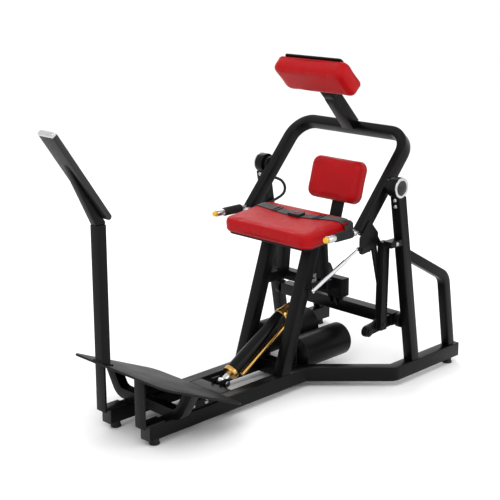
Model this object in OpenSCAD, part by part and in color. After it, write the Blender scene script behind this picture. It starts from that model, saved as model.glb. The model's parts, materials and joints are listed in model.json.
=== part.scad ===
// Seated lower-back machine with an air cylinder.
// X runs across the machine, positive on the seated user's left.
// Y runs from the foot plate towards the back of the machine. Z is up, and the floor is at zero.

/* [Base rails] */
// Width of a rail tube
rail_w = 50; // [45:1:55]
// Height of a rail tube
rail_h = 58; // [50:1:60]
// Height of the rubber feet under the rails
foot_h = 25; // [20:1:30]
// Half of the distance between the rails at the foot plate
rail_front_x = 110; // [105:1:115]
// Half of the distance between the rails at the back
rail_rear_x = 365; // [360:1:370]

/* [Side frames] */
// Width of a side post
post_w = 44; // [40:1:46]
// Forward lean of the side posts, in degrees
post_lean = 10; // [9:0.5:11]
// Size of the square tube of the rear hoops
hoop_w = 40; // [36:1:44]

/* [Moving arm] */
// Backward lean of the arm at rest, in degrees
arm_lean = 41.7; // [40:0.1:43]
// Width of the arm tube, seen along the arm's own plane
arm_tube_w = 40; // [36:1:44]
// Depth of the arm tube, square to the arm's plane
arm_tube_d = 50; // [46:1:52]
// Half of the distance between the centres of the arm's legs
arm_leg_x = 298; // [296:1:300]

/* [Cushions] */
// Width of the seat cushion
seat_w = 476; // [440:1:480]
// Depth of the seat cushion, front to back
seat_d = 284; // [260:1:300]
// Upward tilt of the seat towards the back, in degrees
seat_tilt = 6; // [4:0.5:8]
// Width of the upper back cushion
upper_w = 376; // [360:1:400]
// Width of the lumbar cushion
lumbar_w = 276; // [260:1:290]

/* [Foot plate] */
// Width of the foot plate
foot_plate_w = 514; // [500:1:540]
// Depth of the foot plate along its slope
foot_plate_d = 430; // [420:1:434]
// Slope of the foot plate, in degrees
foot_plate_tilt = 23.5; // [23:0.1:24]

/* [Hidden] */

$fn = 64;
black = "#1b1b1d";
dark_grey = "#3a3b3d";
red = "#b3131c";
silver = "#c8c9cb";
gold = "#b88a35";
yellow = "#e0a81e";
rubber = "#111112";

left = 1;
right = -1;
tiny = 0.3;
reach = 3000;

// Every sub-part is drawn with Y counted from the front feet, and this is the middle of the machine.
middle_y = 603;

// Rails
rail_top = foot_h + rail_h;
rail_front_y = -40;
rail_rear_y = 1462;
rail_slope_y = 682;
cap_t = 3;
foot_r = 20;
rear_foot_y = 1420;

// Side posts
post_d = 45;
post_foot_y = 1144;
post_top_z = 790;
pivot = [1042, 818];
housing_r = 41;
housing_in_x = 340;
housing_out_x = 378;
shaft_r = 15;
running_gap = 0.05;
bearing_z = 253;
crank_axis = [1125, bearing_z];
bearing_shaft_r = 14;

// Arm
arm_top_s = 236;
arm_low_s = -224;
arm_bend_r = 92;
grip_z = 660;
link_pin = [955, 636];
crank_pin = [950, 238];
cylinder_foot = [440, 80];
cylinder_top = [1035, 430];
strut_foot = [155, 790, 410];
strut_top = [302, 886, 590];
arm_travel = 40;
strut_across = cross(strut_top - strut_foot, swung(strut_top) - strut_foot);
strut_axis = strut_across / norm(strut_across);

// Seat
seat_mid = [801, 680];
seat_t = 60;
seat_plate_t = 8;
bearer_h = 40;

// Foot plate
foot_plate_mid = [121, 187];
foot_plate_t = 8;

// Display
display_x = -110;
display_y = -50;
display_w = 40;
console_lean = 34.7;
console_mid = [-138, 966];
console_w = 80;
console_t = 22;
console_half = 200;
console_cap_h = 12;

// Hose on the right side post: Y and Z of its centre line
hose_x = -331;
hose_r = 6;
hose_points = [[1062, 762], [1078, 752], [1098, 744], [1118, 733], [1134, 717], [1142, 698],
    [1138, 680], [1124, 668], [1102, 660], [1078, 654], [1054, 649], [1032, 644], [1014, 638],
    [1004, 629], [1000, 618], [1000, 612]];
hose_sides = 10;

// ---------- plane geometry ----------
function unit(v) = v / norm(v);
function to_left(v) = [-v.y, v.x];
function turned(v, a) = [v.x * cos(a) - v.y * sin(a), v.x * sin(a) + v.y * cos(a)];
function reversed(list) = [for (i = [len(list) - 1:-1:0]) list[i]];

// Points of one rounded corner of a bent bar, on the line that runs off to the left of its middle
function corner_points(p0, p1, p2, r, off) =
    let (d1 = unit(p1 - p0), d2 = unit(p2 - p1),
         angle = atan2(d1.x * d2.y - d1.y * d2.x, d1 * d2),
         s = sign(angle),
         start = p1 - d1 * r * tan(abs(angle) / 2),
         centre = start + to_left(d1) * r * s,
         n = ceil(abs(angle) / 6))
    [for (i = [0:n]) centre - to_left(turned(d1, angle * i / n)) * s * (r - off * s)];

function side_points(path, r, off) =
    let (last = len(path) - 1)
    concat([path[0] + to_left(unit(path[1] - path[0])) * off],
        [for (i = [1:1:last - 1]) each corner_points(path[i - 1], path[i], path[i + 1], r, off)],
        [path[last] + to_left(unit(path[last] - path[last - 1])) * off]);

function bar_outline(path, r, w) =
    concat(side_points(path, r, w / 2), reversed(side_points(path, r, -w / 2)));

// Front face of a side post at a height
function post_front(z) = post_foot_y - (z - rail_top) * tan(post_lean);

// ---------- placing ----------
module placed() {
    translate([0, -middle_y, 0]) children();
}

// Turns a flat outline of Y and Z into a slab across X
module across(x0, x1) {
    translate([x0, 0, 0]) rotate([90, 0, 90]) linear_extrude(height = x1 - x0) children();
}

// Where a point of the arm stands at the end of its travel
function swung(p) = [p.x,
    pivot.x + (p.y - pivot.x) * cos(arm_travel) + (p.z - pivot.y) * sin(arm_travel),
    pivot.y - (p.y - pivot.x) * sin(arm_travel) + (p.z - pivot.y) * cos(arm_travel)];

// Turns a flat outline of X and Z into a slab along Y
module along_y(y0, y1) {
    translate([0, y1, 0]) rotate([90, 0, 0]) linear_extrude(height = y1 - y0) children();
}

module cylinder_x(x0, x1, yz, r) {
    translate([x0, yz.x, yz.y]) rotate([0, 90, 0]) cylinder(h = x1 - x0, r = r);
}

module cylinder_y(y0, y1, xz, r) {
    translate([xz.x, y1, xz.y]) rotate([90, 0, 0]) cylinder(h = y1 - y0, r = r);
}

// Puts Z along the line from one point to another
module from_to(a, b) {
    d = b - a;
    translate(a) rotate([0, acos(d.z / norm(d)), atan2(d.y, d.x)]) children();
}

module mirrored_pair() {
    children();
    mirror([1, 0, 0]) children();
}

module in_arm() {
    translate([0, pivot.x, pivot.y]) rotate([90 - arm_lean, 0, 0]) children();
}

module in_seat() {
    translate([0, seat_mid.x, seat_mid.y]) rotate([seat_tilt, 0, 0]) children();
}

module in_foot_plate() {
    translate([0, foot_plate_mid.x, foot_plate_mid.y]) rotate([-foot_plate_tilt, 0, 0]) children();
}

module in_console() {
    translate([display_x, console_mid.x, console_mid.y]) rotate([console_lean, 0, 0]) children();
}

module rounded_rectangle(w, d, r) {
    union() {
        square([w - 2 * r, d], center = true);
        square([w, d - 2 * r], center = true);
        for (x = [-1, 1], y = [-1, 1]) translate([x * (w / 2 - r), y * (d / 2 - r)]) circle(r);
    }
}

// A flat lever between two eyes of different size
module lever_outline(a, b, ra, rb) {
    side = to_left(unit(b - a));
    union() {
        polygon([a + side * ra, b + side * rb, b - side * rb, a - side * ra]);
        translate(a) circle(ra);
        translate(b) circle(rb);
    }
}

// ---------- base ----------
module rail(side) {
    oblique = rail_rear_x + rail_slope_y;
    path = [[rail_front_x, rail_front_y], [rail_front_x, rail_front_x + rail_slope_y],
        [rail_rear_x, oblique], [rail_rear_x, rail_rear_y]];
    mirror([side == left ? 0 : 1, 0, 0]) color(black)
        translate([0, 0, foot_h]) linear_extrude(height = rail_h)
            polygon(bar_outline(path, rail_w / 2 + 4, rail_w));
}

module rail_end_caps() {
    color(rubber) mirrored_pair() for (end = [[rail_rear_x, rail_rear_y], [rail_front_x, rail_front_y - cap_t]])
        translate([end.x - rail_w / 2, end.y, foot_h]) cube([rail_w, cap_t, rail_h]);
}

module rubber_feet() {
    color(rubber) mirrored_pair() for (spot = [[rail_front_x, 0], [rail_rear_x, rear_foot_y]])
        translate([spot.x, spot.y, 0]) {
            cylinder(h = 6, r = foot_r);
            translate([0, 0, 6]) cylinder(h = foot_h - 6, r = foot_r - 3);
        }
}

module cylinder_cross_tube() {
    inner = 2 * rail_front_x - rail_w;
    color(black) {
        translate([-inner / 2, 350, foot_h]) cube([inner, 57, rail_h]);
        mirrored_pair() across(18, 26) difference() {
            union() {
                translate([407, 50]) square([cylinder_foot.x - 407, 50]);
                translate(cylinder_foot) circle(20);
            }
            translate([380, 40]) square([27, 70]);
            translate(cylinder_foot) circle(8);
        }
    }
}

module tank_cross_tube() {
    inner = 2 * rail_front_x - rail_w;
    color(black) {
        translate([-inner / 2, 733, foot_h]) cube([inner, 57, rail_h]);
        translate([0, 790, 45]) cube([70, 5, 105]);
        cylinder_y(795, 800, [35, 108], 14);
        translate([-133, 745, rail_top]) difference() {
            cube([56, 38, 20]);
            translate([28, -1, 72.2]) rotate([-90, 0, 0]) cylinder(h = 40, r = 69);
        }
    }
}

module tank_solid(length) {
    r = 69;
    dome_r = 100;
    dome_h = dome_r - sqrt(dome_r * dome_r - r * r);
    rotate([-90, 0, 0]) union() {
        translate([0, 0, dome_h]) cylinder(h = length - 2 * dome_h, r = r);
        for (end = [dome_r, length - dome_r]) intersection() {
            translate([0, 0, end]) sphere(dome_r);
            translate([0, 0, end == dome_r ? 0 : length - dome_h]) cylinder(h = dome_h, r = r);
        }
    }
}

module air_tank_left() {
    color(black) translate([35, 800, 108]) tank_solid(320);
}

module air_tank_right() {
    color(dark_grey) translate([-105, 735, 155.2]) tank_solid(335);
}

// ---------- seat ----------
module below_seat_bearers() {
    in_seat() translate([-reach / 2, -reach / 2, -reach - seat_t - seat_plate_t - bearer_h])
        cube(reach);
}

module seat_legs() {
    lean = 18.3;
    depth = 50 / cos(lean);
    foot_y = 637;
    top = 640;
    shift = (top - rail_top) * tan(lean);
    color(black) mirrored_pair() intersection() {
        across(85, 135) polygon([[foot_y, rail_top], [foot_y + depth, rail_top],
            [foot_y + depth + shift, top], [foot_y + shift, top]]);
        below_seat_bearers();
    }
}

module seat_subframe() {
    bearer_top = -seat_t - seat_plate_t;
    color(black) {
        in_seat() {
            mirrored_pair() translate([90, -12, bearer_top - bearer_h]) cube([40, 139, bearer_h]);
            translate([-90, 66, bearer_top - bearer_h]) cube([180, 40, bearer_h]);
        }
        translate([-150, 880, 390]) cube([300, 40, 40]);
        mirrored_pair() difference() {
            translate([92, 780, 390]) cube([36, 100, 40]);
            across(80, 140) polygon([[700, 380], [788, 380], [808, 440], [700, 440]]);
        }
        mirrored_pair() intersection() {
            along_y(880, 918) polygon([[92, 430], [128, 430], [112, 620], [76, 620]]);
            below_seat_bearers();
        }
    }
}

module seat_plate() {
    color(black) in_seat() translate([0, 0, -seat_t - seat_plate_t])
        linear_extrude(height = seat_plate_t) rounded_rectangle(seat_w - 40, seat_d - 30, 30);
}

module seat_cushion() {
    color(red) in_seat() translate([0, 0, -seat_t])
        linear_extrude(height = seat_t) rounded_rectangle(seat_w, seat_d, 40);
}

module regulator_box() {
    color(black) {
        translate([55, 920, 362]) cube([140, 42, 74]);
        cylinder_y(962, 968, [85, 399], 12);
        cylinder_y(962, 968, [165, 399], 12);
    }
}

module lumbar_post() {
    path = [[60, -113], [274.8, -113], [365, 108.9]];
    color(black) in_seat() across(-30, 30) polygon(bar_outline(path, 35, 10));
}

module in_lumbar() {
    translate([0, 1100, 789]) rotate([-16, 0, 0]) children();
}

module lumbar_back_plate() {
    color(black) in_lumbar() translate([0, 34, 0]) rotate([90, 0, 0])
        linear_extrude(height = 6) rounded_rectangle(180, 110, 15);
}

module lumbar_cushion() {
    color(red) in_lumbar() translate([0, 28, 0]) rotate([90, 0, 0])
        linear_extrude(height = 56) rounded_rectangle(lumbar_w, 184, 38);
}

// One strap crosses the cushion on a slant and runs down its side
module belt_strap(side, anchor_y, inner) {
    strap_t = 2.5;
    half = 24;
    gap = 0.6;
    edge = side * (seat_w / 2 + gap);
    union() {
        translate([0, 0, gap]) linear_extrude(height = strap_t)
            polygon([[edge, anchor_y - half], [edge, anchor_y + half],
                [inner.x, inner.y + half - 3], [inner.x, inner.y - half + 3]]);
        translate([side > 0 ? edge : edge - strap_t, anchor_y - half, -62])
            cube([strap_t, 2 * half, 62 + gap + strap_t]);
    }
}

module belt_straps() {
    color(rubber) in_seat() {
        belt_strap(left, 96, [56, 38]);
        belt_strap(right, 72, [-16, 36]);
    }
}

module belt_buckle() {
    color(black) in_seat() translate([20, 36, tiny]) difference() {
        linear_extrude(height = 14) rounded_rectangle(62, 44, 8);
        translate([0, 0, 8]) cylinder(h = 12, r = 8.1);
    }
}

module buckle_button() {
    color(red) in_seat() translate([20, 36, 11.2 + tiny]) cylinder(h = 5, r = 8);
}

// ---------- side frames ----------
module post_slab(z0, z1) {
    polygon([[post_front(z0), z0], [post_front(z0) + post_d, z0],
        [post_front(z1) + post_d, z1], [post_front(z1), z1]]);
}

module post(side) {
    mirror([side == left ? 0 : 1, 0, 0]) color(black) difference() {
        across(rail_rear_x - post_w / 2, rail_rear_x + post_w / 2) post_slab(rail_top, 820);
        cylinder_x(300, 420, pivot, housing_r);
    }
}

module hoop(side) {
    path = [[1080, 553], [1364, 397], [1423, 60]];
    mirror([side == left ? 0 : 1, 0, 0]) color(black) difference() {
        across(rail_rear_x - hoop_w / 2, rail_rear_x + hoop_w / 2) difference() {
            polygon(bar_outline(path, 70, hoop_w));
            post_slab(300, 700);
            translate([1000, 300]) square([post_front(560) - 1000 + 10, 400]);
            translate([1300, 0]) square([300, rail_top]);
        }
    }
}

module pivot_housings() {
    color(black) mirrored_pair() difference() {
        cylinder_x(housing_in_x, housing_out_x, pivot, housing_r);
        cylinder_x(300, 420, pivot, shaft_r + running_gap);
    }
}

module pivot_rings() {
    color(silver) mirrored_pair() difference() {
        cylinder_x(housing_out_x, housing_out_x + 5, pivot, 40);
        cylinder_x(300, 420, pivot, 29);
    }
}

module pivot_caps() {
    color(black) mirrored_pair()
        translate([housing_out_x, pivot.x, pivot.y]) rotate([0, 90, 0]) intersection() {
            cylinder(h = 13, r = 28.7);
            translate([0, 0, -45]) sphere(58);
        }
}

module frame_bolts() {
    color(silver) {
        mirrored_pair() for (z = [770, 745])
            translate([rail_rear_x, post_front(z), z]) rotate([90 + post_lean, 0, 0])
                cylinder(h = 6, r = 9);
        mirrored_pair() {
            cylinder_x(130, 137, [170, 99], 8);
            cylinder_x(130, 137, [235, 99], 8);
            cylinder_x(385, 391, [1020, 600], 8);
        }
    }
}

// The bracket on the right reaches further in, and holds the end of the hose
module post_bracket(side, inner_x) {
    mirror([side == left ? 0 : 1, 0, 0]) difference() {
        translate([inner_x, 985, 588]) cube([385 - inner_x, 75, 24]);
        across(300, 400) post_slab(500, 700);
        across(300, 400) translate([post_front(588), 580]) square([60, 40]);
    }
}

module post_brackets() {
    color(black) {
        post_bracket(left, 345);
        post_bracket(right, 325);
    }
}

module torque_bearings() {
    color(black) mirrored_pair() difference() {
        cylinder_x(322, rail_rear_x - post_w / 2, crank_axis, 30);
        cylinder_x(300, 360, crank_axis, bearing_shaft_r + running_gap);
    }
}

// ---------- crank on the bottom of the side posts ----------
module torque_tube() {
    tube = 50;
    half = 310;
    color(black) {
        translate([-half, crank_axis.x - tube / 2, crank_axis.y - tube / 2])
            cube([2 * half, tube, tube]);
        mirrored_pair() cylinder_x(half, 340, crank_axis, bearing_shaft_r);
    }
}

module crank_lever(x0, x1, pin, pin_r) {
    across(x0, x1) difference() {
        lever_outline(crank_axis, pin, 24, pin_r);
        translate(crank_axis) square(50, center = true);
    }
}

module crank_plates() {
    color(black) {
        crank_lever(292, 304, crank_pin, 22);
        mirrored_pair() crank_lever(12, 20, cylinder_top, 20);
        cylinder_x(286, 292, crank_pin, 13);
        mirrored_pair() cylinder_x(20, 26, cylinder_top, 11);
    }
}

// ---------- arm ----------
module arm_frame() {
    path = [[-arm_leg_x, arm_low_s], [-arm_leg_x, arm_top_s], [arm_leg_x, arm_top_s],
        [arm_leg_x, arm_low_s]];
    color(black) in_arm() linear_extrude(height = arm_tube_d, center = true)
        polygon(bar_outline(path, arm_bend_r, arm_tube_w));
}

module pivot_hubs() {
    leg_face = arm_leg_x + arm_tube_w / 2;
    color(black) mirrored_pair() {
        cylinder_x(leg_face, housing_in_x - 1, pivot, 30);
        cylinder_x(housing_in_x - 1, housing_out_x - 3, pivot, shaft_r);
    }
}

module in_upper_pad() {
    translate([0, 965, 1223]) rotate([45, 0, 0]) children();
}

// Foot of the pad bracket: it passes under the pad's lower end and rises behind its plate
module bracket_foot() {
    in_upper_pad() across(-30, 30)
        polygon([[-11, -132], [31, -132], [66, -100], [66, 10], [42, 40], [42, -84], [-11, -84]]);
}

module arm_stub() {
    face = arm_tube_d / 2;
    color(black) difference() {
        in_arm() across(-30, 30)
            polygon([[211, face], [259, face], [275, 200], [233, 200]]);
        bracket_foot();
    }
}

module pad_bracket() {
    color(black) {
        in_upper_pad() translate([0, 42, 0]) rotate([90, 0, 0])
            linear_extrude(height = 8) rounded_rectangle(300, 150, 14);
        bracket_foot();
    }
}

module upper_cushion() {
    color(red) in_upper_pad() translate([0, 34, 0]) rotate([90, 0, 0])
        linear_extrude(height = 68) rounded_rectangle(upper_w, 155, 28);
}

module grip_bars() {
    centre = [arm_leg_x + 4, grip_z];
    color(silver) mirrored_pair() difference() {
        union() {
            cylinder_y(700, 742, centre, 14);
            cylinder_y(742, 890, centre, 9);
            cylinder_y(842, 860, centre, 14);
        }
        cylinder_y(690, 712, centre, 10.5 + running_gap);
        in_arm() translate([arm_leg_x - arm_tube_w / 2, arm_low_s, -arm_tube_d / 2])
            cube([arm_tube_w, 300, arm_tube_d]);
    }
}

module grip_rubbers() {
    centre = [arm_leg_x + 4, grip_z];
    color(rubber) mirrored_pair() difference() {
        cylinder_y(742, 842, centre, 17.5);
        cylinder_y(740, 844, centre, 9);
    }
}

module thumb_button(side) {
    color(yellow) cylinder_y(688, 704, [side * (arm_leg_x + 4), grip_z], 10.5);
}

module arm_lower_plate() {
    face = arm_leg_x + arm_tube_w / 2;
    color(black) {
        across(face, face + 6) union() {
            polygon([[870, 640], [905, 575], [930, 575], [972, 622], [970, 652], [925, 700]]);
            translate(link_pin) circle(22);
            translate([strut_top.y, strut_top.z]) circle(18);
            polygon([[870, 640], [870, 598], [886, 572], [910, 575], [905, 660]]);
        }
        cylinder_x(face + 6, face + 10, [strut_top.y, strut_top.z], 9);
        cylinder_x(face - 18, face, link_pin, 9);
    }
}

// The link hangs from the arm's lower plate, and its foot lies beside the crank
module link_body_outline() {
    polygon([[994, 238], [1030, 238], [1034, 600], [998, 600]]);
}

module link_lever() {
    color(black) {
        across(306, 338) link_body_outline();
        across(306, 316) difference() {
            union() {
                lever_outline([1000, 590], link_pin, 10, 20);
                lever_outline([1004, 430], link_pin, 8, 14);
                lever_outline([1000, 262], crank_pin, 20, 20);
            }
            translate(link_pin) circle(9 + running_gap);
            link_body_outline();
        }
        cylinder_x(316, 323, crank_pin, 12);
        cylinder_x(338, 342, [1012, 258], 9);
    }
}

// ---------- air cylinder ----------
module along_cylinder() {
    from_to([0, cylinder_foot.x, cylinder_foot.y], [0, cylinder_top.x, cylinder_top.y]) children();
}

module cylinder_pin() {
    color(silver) {
        cylinder_x(-30, 30, cylinder_foot, 8);
        mirrored_pair() cylinder_x(30, 35, cylinder_foot, 12);
    }
}

module cylinder_end_fitting() {
    color(silver) difference() {
        union() {
            cylinder_x(-14, 14, cylinder_foot, 17);
            along_cylinder() translate([0, 0, 10]) cylinder(h = 38, r = 13);
        }
        cylinder_x(-40, 40, cylinder_foot, 8 + running_gap);
    }
}

module brass_ring() {
    color(gold) along_cylinder() translate([0, 0, 48]) cylinder(h = 18, r = 31);
}

module cylinder_barrel() {
    color(black) along_cylinder() translate([0, 0, 66]) difference() {
        cylinder(h = 314, r = 28.5);
        translate([0, 0, -1]) cylinder(h = 316, r = 25);
    }
}

module gold_cone() {
    color(gold) along_cylinder() translate([0, 0, 380]) difference() {
        union() {
            cylinder(h = 16, r = 29.5);
            translate([0, 0, 16]) cylinder(h = 58, r1 = 27, r2 = 12);
        }
        translate([0, 0, -1]) cylinder(h = 80, r = 8 + running_gap);
    }
}

module air_tube() {
    beside = [22, 32];
    color(gold) along_cylinder() rotate([0, 0, -90]) {
        translate([beside.x, beside.y, 96]) cylinder(h = 260, r = 8.5);
        for (z = [84, 356]) translate([beside.x, beside.y, z]) cylinder(h = 12, r = 8.5);
    }
}

module piston_rod() {
    color(silver) {
        along_cylinder() {
            translate([0, 0, 100]) cylinder(h = 24, r = 25 - running_gap);
            translate([0, 0, 124]) cylinder(h = 555, r = 8);
        }
        difference() {
            cylinder_x(-10, 10, cylinder_top, 17);
            cylinder_x(-20, 20, cylinder_top, 8);
        }
    }
}

// ---------- hose ----------
function hose_ring(i) =
    let (last = len(hose_points) - 1,
         before = hose_points[max(i - 1, 0)],
         after = hose_points[min(i + 1, last)],
         side = to_left(unit(after - before)))
    [for (k = [0:hose_sides - 1])
        let (a = 360 * k / hose_sides)
        [hose_x + hose_r * sin(a), hose_points[i].x + side.x * hose_r * cos(a),
            hose_points[i].y + side.y * hose_r * cos(a)]];

module hose() {
    count = len(hose_points);
    rings = [for (i = [0:count - 1]) each hose_ring(i)];
    ends = [[for (k = [0:hose_sides - 1]) k],
        [for (k = [hose_sides - 1:-1:0]) (count - 1) * hose_sides + k]];
    walls = [for (i = [0:count - 2], k = [0:hose_sides - 1])
        let (a = i * hose_sides + k, b = i * hose_sides + (k + 1) % hose_sides)
        [b, a, a + hose_sides, b + hose_sides]];
    color(rubber) polyhedron(points = rings, faces = concat(ends, walls), convexity = 6);
}

// ---------- foot plate and display ----------
module foot_plate() {
    front_r = 32;
    rear_r = 45;
    w = foot_plate_w / 2;
    d = foot_plate_d / 2;
    color(black) in_foot_plate() translate([0, 0, -foot_plate_t])
        linear_extrude(height = foot_plate_t) union() {
            polygon([[-w + front_r, -d], [w - front_r, -d], [w, -d + front_r], [w, d - rear_r],
                [w - rear_r, d], [-w + rear_r, d], [-w, d - rear_r], [-w, -d + front_r]]);
            for (s = [-1, 1]) {
                translate([s * (w - front_r), -d + front_r]) circle(front_r);
                translate([s * (w - rear_r), d - rear_r]) circle(rear_r);
            }
        }
}

module below_foot_plate() {
    in_foot_plate() translate([-reach / 2, -reach / 2, -reach - foot_plate_t]) cube(reach);
}

module foot_plate_frame() {
    color(black) intersection() {
        union() {
            mirrored_pair() across(85, 135)
                polygon([[-66, 78], [-58, 78], [-58, rail_top], [30, rail_top], [30, rail_top + 6],
                    [-58, rail_top + 6], [-58, 300], [-66, 300]]);
            along_y(60, 100)
                polygon(bar_outline([[-232, 215], [-165, 103], [165, 103], [232, 215]], 50, 40));
            mirrored_pair() translate([90, 140, rail_top]) cube([40, 165, 32]);
        }
        below_foot_plate();
    }
}

module display_post() {
    base = 56;
    color(black) {
        in_foot_plate() translate([display_x - base / 2, -foot_plate_d / 2 + 0.5, 0]) cube([base, base, 6]);
        difference() {
            translate([display_x - display_w / 2, display_y - display_w / 2, 200])
                cube([display_w, display_w, 580]);
            in_foot_plate() translate([-reach / 2, -reach / 2, 6 - reach]) cube(reach);
        }
    }
}

module display_bracket() {
    under = -console_t / 2;
    color(black) difference() {
        across(display_x - 17, display_x + 17)
            polygon([[display_y - 20, 780], [display_y + 20, 780], [-28, 800], [-222, 1090]]);
        in_console() translate([-100, under, -400]) cube([200, 400, 800]);
    }
}

module console_housing() {
    low = -console_half;
    top = console_half - console_cap_h;
    r = console_t / 2;
    color(black) in_console() difference() {
        across(-console_w / 2, console_w / 2) union() {
            translate([0, low + r]) circle(r);
            translate([-r, low + r]) square([console_t, top - low - r]);
        }
        translate([-33, r - 3, -155]) cube([66, 10, 320]);
    }
}

module console_cap() {
    r = console_t / 2;
    color(silver) in_console() across(-console_w / 2, console_w / 2) intersection() {
        translate([-r, console_half - console_cap_h]) square([console_t, console_cap_h]);
        translate([0, console_half - 18]) circle(18);
    }
}

module screen() {
    color(dark_grey) in_console() translate([-33, console_t / 2 - 3, -155]) cube([66, 3, 320]);
}

// ---------- gas strut beside the left seat leg ----------
module strut_barrel() {
    color(silver) {
        from_to(strut_foot, strut_top) translate([0, 0, 7]) difference() {
            cylinder(h = 173, r = 8);
            translate([0, 0, 10]) cylinder(h = 170, r = 5.5 + running_gap);
        }
        difference() {
            translate(strut_foot) sphere(9);
            from_to(strut_foot - 12 * strut_axis, strut_foot + 12 * strut_axis)
                cylinder(h = 24, r = 4 + running_gap);
        }
    }
}

// The pin stands on the outer face of the seat leg
module strut_pin() {
    color(silver) intersection() {
        from_to(strut_foot - 30 * strut_axis, strut_foot + 11 * strut_axis) cylinder(h = 41, r = 4);
        translate([135, strut_foot.y - 50, strut_foot.z - 50]) cube([50, 100, 100]);
    }
}

module strut_rod() {
    length = norm(strut_top - strut_foot);
    color(silver) {
        from_to(strut_foot, strut_top) translate([0, 0, 40]) cylinder(h = length - 46, r = 5.5);
        cylinder_x(strut_top.x - 5, strut_top.x + 2.5, [strut_top.y, strut_top.z], 8);
    }
}

placed() rail(left);  // rail_left
placed() rail(right);  // rail_right
placed() rail_end_caps();
placed() rubber_feet();
placed() cylinder_cross_tube();
placed() tank_cross_tube();
placed() seat_legs();
placed() seat_subframe();
placed() seat_plate();
placed() seat_cushion();
placed() regulator_box();
placed() lumbar_post();
placed() lumbar_back_plate();
placed() lumbar_cushion();
placed() belt_straps();
placed() belt_buckle();
placed() buckle_button();
placed() post(left);  // post_left
placed() post(right);  // post_right
placed() hoop(left);  // hoop_left
placed() hoop(right);  // hoop_right
placed() pivot_housings();
placed() pivot_rings();
placed() pivot_caps();
placed() frame_bolts();
placed() post_brackets();
placed() torque_bearings();
placed() torque_tube();
placed() crank_plates();
placed() arm_frame();
placed() pivot_hubs();
placed() arm_stub();
placed() pad_bracket();
placed() upper_cushion();
placed() grip_bars();
placed() grip_rubbers();
placed() thumb_button(left);  // thumb_button_left
placed() thumb_button(right);  // thumb_button_right
placed() arm_lower_plate();
placed() link_lever();
placed() cylinder_pin();
placed() cylinder_barrel();
placed() cylinder_end_fitting();
placed() brass_ring();
placed() gold_cone();
placed() air_tube();
placed() piston_rod();
placed() air_tank_left();
placed() air_tank_right();
placed() hose();
placed() foot_plate();
placed() foot_plate_frame();
placed() display_post();
placed() display_bracket();
placed() console_housing();
placed() console_cap();
placed() screen();
placed() strut_barrel();
placed() strut_pin();
placed() strut_rod();
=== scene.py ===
"""The looks of the seated lower-back machine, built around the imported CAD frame. Metres."""
import json
import math

import bmesh
import bpy
import numpy as np
from mathutils import Matrix, Vector
from mathutils.bvhtree import BVHTree


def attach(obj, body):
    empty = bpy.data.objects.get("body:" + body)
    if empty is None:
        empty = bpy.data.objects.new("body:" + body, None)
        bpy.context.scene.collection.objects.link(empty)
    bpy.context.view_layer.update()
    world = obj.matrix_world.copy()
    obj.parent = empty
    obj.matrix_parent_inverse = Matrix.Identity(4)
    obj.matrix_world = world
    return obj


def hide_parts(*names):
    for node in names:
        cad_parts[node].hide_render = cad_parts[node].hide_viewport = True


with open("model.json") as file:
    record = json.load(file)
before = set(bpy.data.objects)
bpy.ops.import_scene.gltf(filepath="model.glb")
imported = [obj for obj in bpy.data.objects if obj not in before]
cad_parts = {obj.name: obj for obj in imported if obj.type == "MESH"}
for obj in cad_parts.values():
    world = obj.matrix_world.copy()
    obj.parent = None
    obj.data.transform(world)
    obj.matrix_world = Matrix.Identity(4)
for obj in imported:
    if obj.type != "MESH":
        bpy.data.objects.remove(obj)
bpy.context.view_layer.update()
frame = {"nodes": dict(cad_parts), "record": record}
NODES = frame["nodes"]
BODY_OF = {n: b for b, members in frame["record"]["behaviour"]["bodies"].items() for n in members}
SLOT_OF = {s["node"]: s["material_slot"] for s in frame["record"]["subparts"]}
MIDDLE_Y = 0.603  # how far the frame's origin lies behind the front feet


# ---------- camera, floor and lights ----------
def aim(obj, direction):
    obj.rotation_euler = Vector(direction).to_track_quat("-Z", "Y").to_euler()


def make_camera():
    azimuth, pitch = math.radians(44.97), math.radians(15.24)
    data = bpy.data.cameras.new("camera")
    data.lens = 83.74
    data.sensor_width = 36
    cam = bpy.data.objects.new("camera", data)
    cam.location = (3.0701, -2.4784 - MIDDLE_Y, 1.7677)
    level = math.cos(pitch)
    aim(cam, (-math.sin(azimuth) * level, math.cos(azimuth) * level, -math.sin(pitch)))
    bpy.context.collection.objects.link(cam)
    bpy.context.scene.camera = cam


def area_light(name, place, size, power, target=(0, 0, 0.5)):
    data = bpy.data.lights.new(name, "AREA")
    data.shape = "RECTANGLE"
    data.size, data.size_y = size
    data.energy = power
    lamp = bpy.data.objects.new(name, data)
    lamp.location = place
    aim(lamp, Vector(target) - Vector(place))
    bpy.context.collection.objects.link(lamp)


def make_studio():
    world = bpy.data.worlds.new("studio")
    world.use_nodes = True
    world.node_tree.nodes["Background"].inputs["Color"].default_value = (1, 1, 1, 1)
    world.node_tree.nodes["Background"].inputs["Strength"].default_value = 1.0
    bpy.context.scene.world = world
    bpy.context.scene.view_settings.view_transform = "Standard"
    bpy.context.scene.view_settings.gamma = 0.86
    bpy.context.scene.view_settings.exposure = 0.12
    area_light("key", (1.2, -2.6, 3.6), (2.2, 2.2), 48)
    area_light("side", (3.4, 1.8, 2.2), (2.5, 1.6), 26)
    area_light("back", (-2.6, 2.4, 3.0), (2.5, 2.0), 30)
    mesh = bpy.data.meshes.new("floor")
    mesh.from_pydata([(-40, -40, 0), (40, -40, 0), (40, 40, 0), (-40, 40, 0)], [], [(0, 1, 2, 3)])
    floor = bpy.data.objects.new("floor", mesh)
    floor.data.materials.append(floor_paint())
    bpy.context.collection.objects.link(floor)


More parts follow.
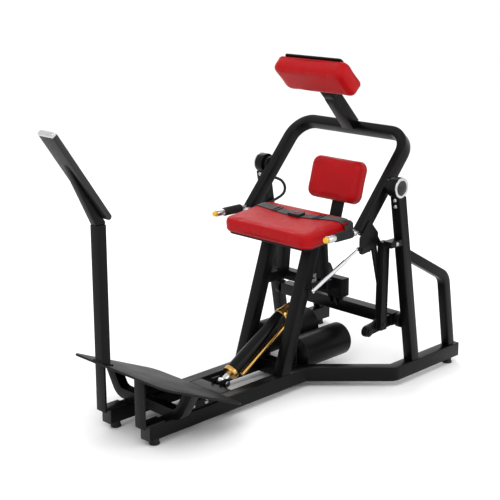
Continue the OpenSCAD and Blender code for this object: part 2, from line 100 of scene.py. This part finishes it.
# ---------- materials ----------
def new_material(name, colour, roughness, metallic=0.0):
    mat = bpy.data.materials.new(name)
    mat.use_nodes = True
    bsdf = mat.node_tree.nodes["Principled BSDF"]
    bsdf.inputs["Base Color"].default_value = (*colour, 1)
    bsdf.inputs["Roughness"].default_value = roughness
    bsdf.inputs["Metallic"].default_value = metallic
    return mat, mat.node_tree, bsdf


def coordinates(tree, scale=(1, 1, 1)):
    place = tree.nodes.new("ShaderNodeTexCoord")
    mapping = tree.nodes.new("ShaderNodeMapping")
    mapping.inputs["Scale"].default_value = scale
    tree.links.new(place.outputs["Object"], mapping.inputs["Vector"])
    return mapping.outputs["Vector"]


def noise(tree, scale, detail=3.0, stretch=(1, 1, 1)):
    node = tree.nodes.new("ShaderNodeTexNoise")
    node.inputs["Scale"].default_value = scale
    node.inputs["Detail"].default_value = detail
    tree.links.new(coordinates(tree, stretch), node.inputs["Vector"])
    return node.outputs["Fac"]


def cells(tree, scale):
    node = tree.nodes.new("ShaderNodeTexVoronoi")
    node.feature = "DISTANCE_TO_EDGE"
    node.inputs["Scale"].default_value = scale
    tree.links.new(coordinates(tree), node.inputs["Vector"])
    return node.outputs["Distance"]


def spread(tree, value, low, high, start=0.3, end=0.7):
    node = tree.nodes.new("ShaderNodeMapRange")
    for name, number in (("From Min", start), ("From Max", end), ("To Min", low), ("To Max", high)):
        node.inputs[name].default_value = number
    tree.links.new(value, node.inputs["Value"])
    return node.outputs["Result"]


def tint(tree, value, first, second):
    node = tree.nodes.new("ShaderNodeMix")
    node.data_type = "RGBA"
    node.inputs["A"].default_value = (*first, 1)
    node.inputs["B"].default_value = (*second, 1)
    tree.links.new(value, node.inputs["Factor"])
    return node.outputs["Result"]


def bump(tree, bsdf, value, strength, distance, below=None):
    node = tree.nodes.new("ShaderNodeBump")
    node.inputs["Strength"].default_value = strength
    node.inputs["Distance"].default_value = distance
    tree.links.new(value, node.inputs["Height"])
    if below:
        tree.links.new(below, node.inputs["Normal"])
    tree.links.new(node.outputs["Normal"], bsdf.inputs["Normal"])
    return node.outputs["Normal"]


def edge_mask(tree, radius):
    """One along sharp edges and nothing on open faces."""
    bevel = tree.nodes.new("ShaderNodeBevel")
    bevel.inputs["Radius"].default_value = radius
    geometry = tree.nodes.new("ShaderNodeNewGeometry")
    dot = tree.nodes.new("ShaderNodeVectorMath")
    dot.operation = "DOT_PRODUCT"
    tree.links.new(bevel.outputs["Normal"], dot.inputs[0])
    tree.links.new(geometry.outputs["Normal"], dot.inputs[1])
    return spread(tree, dot.outputs["Value"], 1.0, 0.0, 0.85, 0.995)


def painted(name, colour, worn_and_glint, roughness, grain=0.12, grain_scale=650):
    mat, tree, bsdf = new_material(name, colour, roughness)
    bsdf.inputs["Specular IOR Level"].default_value = 0.2
    patches = noise(tree, 7, 5)
    # Sharp edges are lightened towards the second colour: partly real edge wear, partly painted
    # highlight standing in for glints along the edges.
    wear_and_glint = tree.nodes.new("ShaderNodeMath")
    wear_and_glint.operation = "MULTIPLY"
    tree.links.new(edge_mask(tree, 0.003), wear_and_glint.inputs[0])
    tree.links.new(spread(tree, noise(tree, 45, 6), 0.15, 0.9), wear_and_glint.inputs[1])
    tree.links.new(tint(tree, wear_and_glint.outputs[0], colour, worn_and_glint), bsdf.inputs["Base Color"])
    tree.links.new(spread(tree, patches, roughness - 0.06, roughness + 0.08), bsdf.inputs["Roughness"])
    bump(tree, bsdf, noise(tree, grain_scale, 2), grain, 0.0006)
    return mat


def vinyl():
    deep, bright = (0.34, 0.002, 0.005), (0.45, 0.004, 0.008)
    mat, tree, bsdf = new_material("red_vinyl", bright, 0.42)
    bsdf.inputs["Specular IOR Level"].default_value = 0.2
    tree.links.new(tint(tree, noise(tree, 11, 4), deep, bright), bsdf.inputs["Base Color"])
    tree.links.new(spread(tree, noise(tree, 60, 4), 0.36, 0.47), bsdf.inputs["Roughness"])
    creases = bump(tree, bsdf, noise(tree, 34, 4), 0.10, 0.004)
    bump(tree, bsdf, spread(tree, cells(tree, 520), 0, 1, 0.0, 0.12), 0.22, 0.0005, creases)
    return mat


def stitched_seam():
    mat, tree, bsdf = new_material("seam_thread", (0.30, 0.004, 0.008), 0.55)
    tree.links.new(tint(tree, noise(tree, 300, 3), (0.22, 0.003, 0.006), (0.4, 0.008, 0.014)),
                   bsdf.inputs["Base Color"])
    bump(tree, bsdf, noise(tree, 400, 3), 0.3, 0.0008)
    return mat


def webbing():
    mat, tree, bsdf = new_material("webbing", (0.05, 0.05, 0.054), 0.8)
    wave = tree.nodes.new("ShaderNodeTexWave")
    wave.inputs["Scale"].default_value = 110
    wave.bands_direction = "X"
    tree.links.new(coordinates(tree), wave.inputs["Vector"])
    rib = tree.nodes.new("ShaderNodeTexWave")
    rib.inputs["Scale"].default_value = 190
    rib.bands_direction = "Y"
    tree.links.new(coordinates(tree), rib.inputs["Vector"])
    weave = tree.nodes.new("ShaderNodeMath")
    weave.operation = "MULTIPLY"
    tree.links.new(wave.outputs["Fac"], weave.inputs[0])
    tree.links.new(rib.outputs["Fac"], weave.inputs[1])
    tree.links.new(tint(tree, weave.outputs[0], (0.016, 0.016, 0.018), (0.075, 0.075, 0.08)),
                   bsdf.inputs["Base Color"])
    bsdf.inputs["Sheen Weight"].default_value = 0.25
    bump(tree, bsdf, weave.outputs[0], 0.6, 0.0008)
    return mat


def rubber(name, grey, roughness):
    mat, tree, bsdf = new_material(name, (grey, grey, grey), roughness)
    tree.links.new(tint(tree, noise(tree, 25, 5), (grey * 0.7,) * 3, (grey * 1.6,) * 3),
                   bsdf.inputs["Base Color"])
    tree.links.new(spread(tree, noise(tree, 90, 3), roughness - 0.08, roughness + 0.1),
                   bsdf.inputs["Roughness"])
    bump(tree, bsdf, noise(tree, 900, 2), 0.25, 0.0005)
    return mat


def metal(name, dark, light, roughness, stretch=(1, 1, 14), scale=60):
    """A drawn or turned metal with fine lines along one way."""
    mat, tree, bsdf = new_material(name, light, roughness, 1.0)
    lines = noise(tree, scale, 6, stretch)
    tree.links.new(tint(tree, lines, dark, light), bsdf.inputs["Base Color"])
    tree.links.new(spread(tree, lines, roughness * 0.7, roughness * 1.4), bsdf.inputs["Roughness"])
    bump(tree, bsdf, noise(tree, scale * 5, 3, stretch), 0.06, 0.0004)
    return mat


def plastic(name, colour, roughness):
    mat, tree, bsdf = new_material(name, colour, roughness)
    darker = tuple(0.75 * c for c in colour)
    tree.links.new(tint(tree, noise(tree, 18, 4), darker, colour), bsdf.inputs["Base Color"])
    tree.links.new(spread(tree, noise(tree, 120, 3), roughness - 0.04, roughness + 0.07),
                   bsdf.inputs["Roughness"])
    bump(tree, bsdf, noise(tree, 1100, 2), 0.12, 0.0004)
    return mat


def floor_paint():
    mat, tree, bsdf = new_material("floor", (0.94, 0.94, 0.94), 0.7)
    tree.links.new(tint(tree, noise(tree, 2, 3), (0.93, 0.93, 0.93), (0.95, 0.95, 0.95)),
                   bsdf.inputs["Base Color"])
    return mat


# Each paint's second colour is its lighter edge colour, partly edge wear and partly painted highlight.
FINISH = {
    "black_paint": painted("black_paint", (0.004, 0.004, 0.0044), (0.07, 0.068, 0.066), 0.32),
    "foot_plate_paint": painted("foot_plate_paint", (0.013, 0.013, 0.014), (0.05, 0.05, 0.05), 0.5,
                                0.5, 420),
    "grey_tank_paint": painted("grey_tank_paint", (0.011, 0.011, 0.012), (0.05, 0.05, 0.05), 0.4),
    "barrel_paint": painted("barrel_paint", (0.006, 0.006, 0.0065), (0.03, 0.03, 0.03), 0.2),
    "black_rubber": rubber("black_rubber", 0.012, 0.68),
    "black_plastic": plastic("black_plastic", (0.016, 0.016, 0.017), 0.42),
    "red_vinyl": vinyl(),
    "webbing": webbing(),
    "red_plastic": plastic("red_plastic", (0.45, 0.02, 0.02), 0.3),
    "yellow_plastic": plastic("yellow_plastic", (0.82, 0.52, 0.04), 0.3),
    "bright_steel": metal("bright_steel", (0.45, 0.45, 0.46), (0.72, 0.72, 0.73), 0.24),
    "chrome": metal("chrome", (0.62, 0.62, 0.64), (0.82, 0.82, 0.84), 0.10),
    "brass": metal("brass", (0.45, 0.26, 0.07), (0.72, 0.46, 0.16), 0.26),
    "screen_glass": plastic("screen_glass", (0.010, 0.012, 0.014), 0.12),
}
SEAM = stitched_seam()


# ---------- mesh helpers ----------
def new_piece(name, mesh, body, slot, material=None, smooth=True):
    piece = bpy.data.objects.new(name, mesh)
    bpy.context.collection.objects.link(piece)
    mesh.materials.clear()
    mesh.materials.append(material or FINISH[slot])
    for face in mesh.polygons:
        face.use_smooth = smooth
    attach(piece, body)
    return piece


def finished_mesh(piece):
    """Applies every modifier of a piece."""
    graph = bpy.context.evaluated_depsgraph_get()
    mesh = bpy.data.meshes.new_from_object(piece.evaluated_get(graph))
    piece.modifiers.clear()
    piece.data = mesh


def softened(node, width, segments=3):
    """The CAD node's own shape with its sharp edges rounded, as drawn tube and folded plate have."""
    bm = bmesh.new()
    bm.from_mesh(NODES[node].data)
    bmesh.ops.remove_doubles(bm, verts=bm.verts, dist=1e-6)
    bmesh.ops.dissolve_limit(bm, angle_limit=math.radians(0.5), verts=bm.verts, edges=bm.edges)
    mesh = bpy.data.meshes.new(node + "_rounded")
    bm.to_mesh(mesh)
    bm.free()
    piece = new_piece(node + "_rounded", mesh, BODY_OF[node], SLOT_OF[node])
    bevel = piece.modifiers.new("round", "BEVEL")
    bevel.width = width
    bevel.segments = segments
    bevel.limit_method = "ANGLE"
    bevel.angle_limit = math.radians(32)
    finished_mesh(piece)
    piece.data.set_sharp_from_angle(angle=math.radians(28))
    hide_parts(node)
    return piece


def lathe(profile, sides=40):
    """A turned solid about Z from (radius, height) pairs, closed at both ends."""
    bm = bmesh.new()
    rings = []
    for radius, height in profile:
        ring = []
        for k in range(sides):
            angle = 2 * math.pi * k / sides
            ring.append(bm.verts.new((radius * math.cos(angle), radius * math.sin(angle), height)))
        rings.append(ring)
    for low, high in zip(rings, rings[1:]):
        for k in range(sides):
            bm.faces.new((low[k], low[(k + 1) % sides], high[(k + 1) % sides], high[k]))
    bm.faces.new(list(reversed(rings[0])))
    bm.faces.new(rings[-1])
    mesh = bpy.data.meshes.new("lathe")
    bm.to_mesh(mesh)
    bm.free()
    return mesh


def joined(meshes, name):
    """One mesh from (mesh, matrix) pairs."""
    bm = bmesh.new()
    for mesh, matrix in meshes:
        part = mesh.copy()
        part.transform(matrix)
        bm.from_mesh(part)
    result = bpy.data.meshes.new(name)
    bm.to_mesh(result)
    bm.free()
    return result


def loose_parts(node):
    """The separate solids of a CAD node, each as an array of its points."""
    bm = bmesh.new()
    bm.from_mesh(NODES[node].data)
    bmesh.ops.remove_doubles(bm, verts=bm.verts, dist=1e-6)
    left, parts = set(bm.verts), []
    while left:
        group, queue = set(), [next(iter(left))]
        while queue:
            vert = queue.pop()
            if vert not in group:
                group.add(vert)
                queue += [e.other_vert(vert) for e in vert.link_edges]
        left -= group
        parts.append(np.array([v.co[:] for v in group]))
    bm.free()
    return sorted(parts, key=lambda p: tuple(np.round(p.mean(axis=0), 4)))


def tube(name, points, radius, body, slot, material=None, cyclic=False, sides=5):
    curve = bpy.data.curves.new(name, "CURVE")
    curve.dimensions = "3D"
    curve.bevel_depth = radius
    curve.bevel_resolution = sides
    curve.use_fill_caps = not cyclic
    spline = curve.splines.new("POLY")
    spline.points.add(len(points) - 1)
    for target, point in zip(spline.points, points):
        target.co = (*point, 1)
    spline.use_cyclic_u = cyclic
    piece = bpy.data.objects.new(name, curve)
    bpy.context.collection.objects.link(piece)
    graph = bpy.context.evaluated_depsgraph_get()
    mesh = bpy.data.meshes.new_from_object(piece.evaluated_get(graph))
    bpy.data.objects.remove(piece)
    return new_piece(name, mesh, body, slot, material)


# ---------- cushions ----------
CLOTH_CELL = 0.006
CLOTH_FRAMES = 20
FOAM_SUPPORT = 0.85  # share of any sinking of the cover that the foam under it holds up
COVER_SLACK = 0.75   # share of the capped travel by which a pad starts smaller than its CAD shape
SEAM_R = 0.0016


def rounded_outline(w, d, r, steps=10):
    points = []
    for cx, cy, start in ((w / 2 - r, d / 2 - r, 0), (-w / 2 + r, d / 2 - r, 90),
                          (-w / 2 + r, -d / 2 + r, 180), (w / 2 - r, -d / 2 + r, 270)):
        for k in range(steps + 1):
            angle = math.radians(start + 90 * k / steps)
            points.append((cx + r * math.cos(angle), cy + r * math.sin(angle)))
    return points


def pad_start(w, d, t, r, edge):
    """A slab with a rounded upper edge, lying on z = 0."""
    bm = bmesh.new()
    levels = [(0.004, 0.0), (0.0, 0.006)]
    levels += [(edge * (1 - math.cos(math.radians(a))), t - edge + edge * math.sin(math.radians(a)))
               for a in range(0, 91, 15)]
    rings = []
    for inset, z in levels:
        outline = rounded_outline(w - 2 * inset, d - 2 * inset, max(r - inset, 0.004))
        rings.append([bm.verts.new((x, y, z)) for x, y in outline])
    count = len(rings[0])
    for low, high in zip(rings, rings[1:]):
        for k in range(count):
            bm.faces.new((low[k], low[(k + 1) % count], high[(k + 1) % count], high[k]))
    bm.faces.new(list(reversed(rings[0])))
    bm.faces.new(rings[-1])
    mesh = bpy.data.meshes.new("pad")
    bm.to_mesh(mesh)
    bm.free()
    return mesh


def inflate(piece, cap):
    """Cloth under pressure, with each point's travel capped and the back kept flat on z = 0."""
    remesh = piece.modifiers.new("remesh", "REMESH")
    remesh.mode = "VOXEL"
    remesh.voxel_size = CLOTH_CELL
    finished_mesh(piece)
    start = np.array([v.co[:] for v in piece.data.vertices])
    outward = np.array([v.normal[:] for v in piece.data.vertices])
    cloth = piece.modifiers.new("cloth", "CLOTH")
    cloth.settings.use_pressure = True
    cloth.settings.uniform_pressure_force = 4
    cloth.settings.effector_weights.gravity = 0
    cloth.settings.quality = 4
    scene = bpy.context.scene
    for number in range(1, CLOTH_FRAMES + 1):
        scene.frame_set(number)
    graph = bpy.context.evaluated_depsgraph_get()
    result = piece.evaluated_get(graph).to_mesh()
    moved = np.array([v.co[:] for v in result.vertices])
    piece.modifiers.clear()
    scene.frame_set(1)
    travel = moved - start
    sunk = np.minimum(0, (travel * outward).sum(axis=1, keepdims=True))
    travel -= FOAM_SUPPORT * sunk * outward
    length = np.linalg.norm(travel, axis=1, keepdims=True)
    moved = start + travel * np.minimum(1, cap / np.maximum(length, 1e-9))
    moved[:, 2] = np.maximum(moved[:, 2], 0.0)
    for vert, place in zip(piece.data.vertices, moved):
        vert.co = place
    smooth = piece.modifiers.new("smooth", "SMOOTH")
    smooth.factor = 0.5
    smooth.iterations = 4
    subdivide = piece.modifiers.new("subdivide", "SUBSURF")
    subdivide.levels = 1
    finished_mesh(piece)


def seam_line(piece, matrix, w, d, r, z, name, body):
    """A sewn seam round the pad: the outline at one height, laid on the pad's skin."""
    skin = BVHTree.FromPolygons([v.co[:] for v in piece.data.vertices],
                                [p.vertices[:] for p in piece.data.polygons])
    points = []
    for x, y in rounded_outline(w + 0.06, d + 0.06, r + 0.03, 14):
        away = Vector((x, y, 0)).normalized()
        hit = skin.ray_cast(Vector((x, y, z)) + away * 0.05, -away)
        if hit[0]:
            points.append(hit[0])
    world = [matrix @ (p - Vector((p.x, p.y, 0)).normalized() * 0.0003) for p in points]
    return tube(name, world, SEAM_R, body, "red_vinyl", SEAM, cyclic=True, sides=3)


def cushion(node, matrix, w, d, t, r, edge, cap, seam_z):
    body = BODY_OF[node]
    shrink = cap * COVER_SLACK
    mesh = pad_start(w - 2 * shrink, d - 2 * shrink, t - shrink, r, edge)
    piece = new_piece(node + "_padded", mesh, body, "red_vinyl")
    inflate(piece, cap)
    seam = seam_line(piece, matrix, w, d, r, seam_z, node + "_seam", body)
    piece.data.transform(matrix)
    for face in piece.data.polygons:
        face.use_smooth = True
    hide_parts(node)
    return piece, seam


def place(y, z, turn):
    """A local frame: Y and Z as in the CAD, turned about X by an angle in degrees."""
    return Matrix.Translation((0, y - MIDDLE_Y, z)) @ Matrix.Rotation(math.radians(turn), 4, "X")


# Pads stand on their local z = 0 with their face along local +Z.
SEAT = place(0.801, 0.680, 6)
LUMBAR = place(1.100, 0.789, -16)
UPPER = place(0.965, 1.223, 45)
FACE_FORWARD = Matrix.Rotation(math.radians(90), 4, "X")


def make_cushions():
    seat, _ = cushion("seat_cushion", SEAT @ Matrix.Translation((0, 0, -0.060)),
                      0.476, 0.284, 0.060, 0.040, 0.014, 0.006, 0.012)
    cushion("lumbar_cushion", LUMBAR @ Matrix.Translation((0, 0.028, 0)) @ FACE_FORWARD,
            0.276, 0.184, 0.056, 0.036, 0.016, 0.006, 0.012)
    cushion("upper_cushion", UPPER @ Matrix.Translation((0, 0.034, 0)) @ FACE_FORWARD,
            0.376, 0.155, 0.068, 0.030, 0.016, 0.006, 0.012)
    return seat


# ---------- belt ----------
WEB_T = 0.0022
WEB_GAP = 0.0012     # over the cushion's skin
WEB_SIDE_X = 0.2398
WEB_SIDE_Z = (-0.060, -0.014)
WEB_HALF = 0.024
SIDE_ROWS = 6
TOP_ROWS = 24
ACROSS = 5
# Side of the seat, where the strap leaves its edge, and where it meets the buckle
STRAP_ENDS = ((1, 0.096, (0.056, 0.038)), (-1, 0.072, (-0.016, 0.036)))
SLIDER_SIZE = (0.007, 0.051, 0.0034)
SLIDER_LIFT = 0.0036
SLIDER_ROWS = (19, 21)


def slider(row, next_row):
    """A moulded bar across a strap, lying on its upper side."""
    centre = (Vector(row[2]) + Vector(next_row[2])) / 2 + Vector((0, 0, SLIDER_LIFT))
    along = (Vector(next_row[2]) - Vector(row[2])).normalized()
    across = (Vector(row[4]) - Vector(row[0])).normalized()
    up = along.cross(across).normalized()
    up = up if up.z > 0 else -up
    mesh = bpy.data.meshes.new("slider")
    bm = bmesh.new()
    bmesh.ops.create_cube(bm, size=1, matrix=Matrix.Diagonal((*SLIDER_SIZE, 1)))
    bm.to_mesh(mesh)
    bm.free()
    turn = Matrix((along, across, up)).transposed().to_4x4()
    return mesh, SEAT @ Matrix.Translation(centre) @ turn


def strap_rows(skin, sign, anchor, inner):
    """Rows of points across one strap, up the cushion's side and over its crown to the buckle."""
    outer = sign * WEB_SIDE_X
    stations = [(outer, anchor, WEB_HALF, z, True) for z in np.linspace(*WEB_SIDE_Z, SIDE_ROWS)]
    for t in np.linspace(0, 1, TOP_ROWS + 1)[1:]:
        stations.append((outer + (inner[0] - outer) * t, anchor + (inner[1] - anchor) * t,
                         WEB_HALF - 0.003 * t, 0.0, False))
    inverse = SEAT.inverted()
    up = (SEAT.to_3x3() @ Vector((0, 0, 1))).normalized()
    rows = []
    for x, middle, half, z, on_side in stations:
        row = []
        for y in np.linspace(middle - half, middle + half, ACROSS):
            height = z
            if not on_side:
                hit = skin.ray_cast(SEAT @ Vector((x, y, 0.06)), -up)
                height = (inverse @ hit[0]).z + WEB_GAP if hit[0] else -0.008
            row.append((x, y, height))
        rows.append(row)
    # Taut webbing bridges small hollows, so each row is only ever lifted.
    for _ in range(2):
        for k in range(SIDE_ROWS + 1, len(rows) - 1):
            for m in range(ACROSS):
                average = (rows[k - 1][m][2] + rows[k][m][2] * 2 + rows[k + 1][m][2]) / 4
                rows[k][m] = (rows[k][m][0], rows[k][m][1], max(average, rows[k][m][2]))
    return rows


def strap_mesh(rows, sign):
    """A closed band of the webbing's thickness over the given rows."""
    bm = bmesh.new()
    grids = []
    for layer in (0, 1):
        grid = []
        for k, row in enumerate(rows):
            step = WEB_T * layer
            shift = Vector((sign * step, 0, 0) if k < SIDE_ROWS else (0, 0, step))
            grid.append([bm.verts.new(Vector(p) + shift) for p in row])
        grids.append(grid)
    under, over = grids
    last = len(rows) - 1
    for k in range(last):
        for m in range(ACROSS - 1):
            bm.faces.new((under[k][m], under[k + 1][m], under[k + 1][m + 1], under[k][m + 1]))
            bm.faces.new((over[k][m], over[k][m + 1], over[k + 1][m + 1], over[k + 1][m]))
        for m in (0, ACROSS - 1):
            bm.faces.new((under[k][m], under[k + 1][m], over[k + 1][m], over[k][m]))
    for k in (0, last):
        for m in range(ACROSS - 1):
            bm.faces.new((under[k][m], under[k][m + 1], over[k][m + 1], over[k][m]))
    bmesh.ops.recalc_face_normals(bm, faces=bm.faces)
    mesh = bpy.data.meshes.new("strap")
    bm.to_mesh(mesh)
    bm.free()
    return mesh


def make_belt(seat):
    """Two flat straps that lie on the crowned cushion and turn down its sides."""
    skin = BVHTree.FromPolygons([v.co[:] for v in seat.data.vertices],
                                [p.vertices[:] for p in seat.data.polygons])
    meshes, sliders = [], []
    for sign, anchor, inner in STRAP_ENDS:
        rows = strap_rows(skin, sign, anchor, inner)
        sliders += [slider(rows[k], rows[k + 1]) for k in SLIDER_ROWS]
        meshes.append((strap_mesh(rows, sign), SEAT))
    piece = new_piece("belt_webbing", joined(meshes, "belt_webbing"), "frame", "webbing")
    piece.data.set_sharp_from_angle(angle=math.radians(50))
    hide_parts("belt_straps")
    bars = new_piece("belt_sliders", joined(sliders, "belt_sliders"), "frame", "black_plastic")
    bevel = bars.modifiers.new("round", "BEVEL")
    bevel.width = 0.001
    bevel.segments = 2
    finished_mesh(bars)


# ---------- turned and small pieces ----------
def make_grips():
    """Rubber sleeves with raised rings."""
    meshes = []
    for part in loose_parts("grip_rubbers"):
        low, high = part.min(axis=0), part.max(axis=0)
        centre = (low + high) / 2
        radius = (high[0] - low[0]) / 2
        length = high[1] - low[1]
        profile = [(0.0092, 0), (radius * 0.86, 0), (radius * 0.97, 0.003)]
        rings = 16
        pitch = (length - 0.012) / rings
        for k in range(rings):
            z = 0.006 + pitch * k
            profile += [(radius, z), (radius, z + pitch * 0.55), (radius * 0.93, z + pitch * 0.62),
                        (radius * 0.93, z + pitch * 0.93)]
        profile += [(radius * 0.97, length - 0.003), (radius * 0.86, length), (0.0092, length)]
        turn = Matrix.Translation((centre[0], high[1], centre[2])) @ FACE_FORWARD
        meshes.append((lathe(profile, 36), turn))
    piece = new_piece("grip_sleeves", joined(meshes, "grip_sleeves"), "arm", "black_rubber")
    piece.data.set_sharp_from_angle(angle=math.radians(35))
    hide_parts("grip_rubbers")


def bolt_mesh(radius, height, sides=24):
    """A washer, a domed head and a hexagon socket."""
    bm = bmesh.new()
    angles = [2 * math.pi * k / sides for k in range(sides)]

    def ring_of(radii, z):
        return [bm.verts.new((r * math.cos(a), r * math.sin(a), z)) for r, a in zip(radii, angles)]

    profile = [(radius, 0), (radius, height * 0.22), (radius * 0.80, height * 0.24),
               (radius * 0.80, height * 0.62), (radius * 0.68, height * 0.9), (radius * 0.52, height)]
    rings = [ring_of([r] * sides, z) for r, z in profile]
    hexagon = [radius * 0.36 / math.cos((a % (math.pi / 3)) - math.pi / 6) for a in angles]
    rings += [ring_of(hexagon, depth) for depth in (height, height * 0.45)]
    for low, high in zip(rings, rings[1:]):
        for k in range(sides):
            bm.faces.new((low[k], low[(k + 1) % sides], high[(k + 1) % sides], high[k]))
    bm.faces.new(list(reversed(rings[0])))
    bm.faces.new(rings[-1])
    mesh = bpy.data.meshes.new("bolt")
    bm.to_mesh(mesh)
    bm.free()
    return mesh


def make_bolts():
    meshes = []
    for part in loose_parts("frame_bolts"):
        middle = part.mean(axis=0)
        values, vectors = np.linalg.eigh(np.cov((part - middle).T))
        spread_along = [np.ptp(part @ vectors[:, k]) for k in range(3)]
        axis = vectors[:, int(np.argmin(spread_along))]
        outward = np.array([np.sign(middle[0]) if abs(axis[0]) > 0.5 else 0.0,
                            0.0 if abs(axis[0]) > 0.5 else -1.0, 0.0])
        if axis @ outward < 0:
            axis = -axis
        height = min(spread_along)
        radius = max(spread_along) / 2
        turn = Vector(axis).to_track_quat("Z", "Y").to_matrix().to_4x4()
        base = Vector(middle - axis * height / 2)
        meshes.append((bolt_mesh(radius, height), Matrix.Translation(base) @ turn))
    piece = new_piece("bolt_heads", joined(meshes, "bolt_heads"), "frame", "bright_steel")
    piece.data.set_sharp_from_angle(angle=math.radians(30))
    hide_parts("frame_bolts")


HOSE_X = -0.331
HOSE_POINTS = [(1.062, 0.762), (1.078, 0.752), (1.098, 0.744), (1.118, 0.733), (1.134, 0.717),
               (1.142, 0.698), (1.138, 0.680), (1.124, 0.668), (1.102, 0.660), (1.078, 0.654),
               (1.054, 0.649), (1.032, 0.644), (1.014, 0.638), (1.004, 0.629), (1.000, 0.618),
               (1.000, 0.612)]


def smoothed(points, steps=4):
    """Points along a smooth line through the given ones."""
    result = []
    ends = [points[0], *points, points[-1]]
    for a, b, c, d in zip(ends, ends[1:], ends[2:], ends[3:]):
        a, b, c, d = (Vector(p) for p in (a, b, c, d))
        for k in range(steps):
            t = k / steps
            result.append(0.5 * ((2 * b) + (c - a) * t + (2 * a - 5 * b + 4 * c - d) * t * t
                                 + (3 * b - a - 3 * c + d) * t ** 3))
    return result + [Vector(points[-1])]


def make_hose():
    route = [(HOSE_X, y - MIDDLE_Y, z) for y, z in HOSE_POINTS]
    piece = tube("air_hose", smoothed(route), 0.0058, "frame", "black_rubber", sides=6)
    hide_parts("hose")


# ---------- the frame's tubes and plates ----------
ROUNDED = {
    0.0050: ["rail_left", "rail_right", "seat_legs", "post_left", "post_right", "hoop_left",
             "hoop_right", "arm_frame", "torque_tube", "arm_stub", "display_post"],
    0.0035: ["cylinder_cross_tube", "tank_cross_tube", "seat_subframe", "regulator_box",
             "pad_bracket", "link_lever", "foot_plate_frame", "display_bracket"],
    0.0018: ["seat_plate", "lumbar_post", "lumbar_back_plate", "post_brackets", "crank_plates",
             "arm_lower_plate", "foot_plate", "console_housing", "pivot_housings", "pivot_caps",
             "rubber_feet", "rail_end_caps", "pivot_hubs", "torque_bearings"],
    0.0012: ["grip_bars", "pivot_rings", "console_cap", "brass_ring", "gold_cone",
             "cylinder_end_fitting", "cylinder_pin", "thumb_button_left", "thumb_button_right",
             "screen"],
    0.0014: ["buckle_button"],
    0.0010: ["belt_buckle"],
}


def finish_frame():
    for width, names in ROUNDED.items():
        for node in names:
            softened(node, width)
    for node, obj in NODES.items():
        obj.data.materials.clear()
        obj.data.materials.append(FINISH[SLOT_OF[node]])
        obj.data.set_sharp_from_angle(angle=math.radians(30))


make_camera()
make_studio()
finish_frame()
seat_piece = make_cushions()
make_belt(seat_piece)
make_grips()
make_bolts()
make_hose()
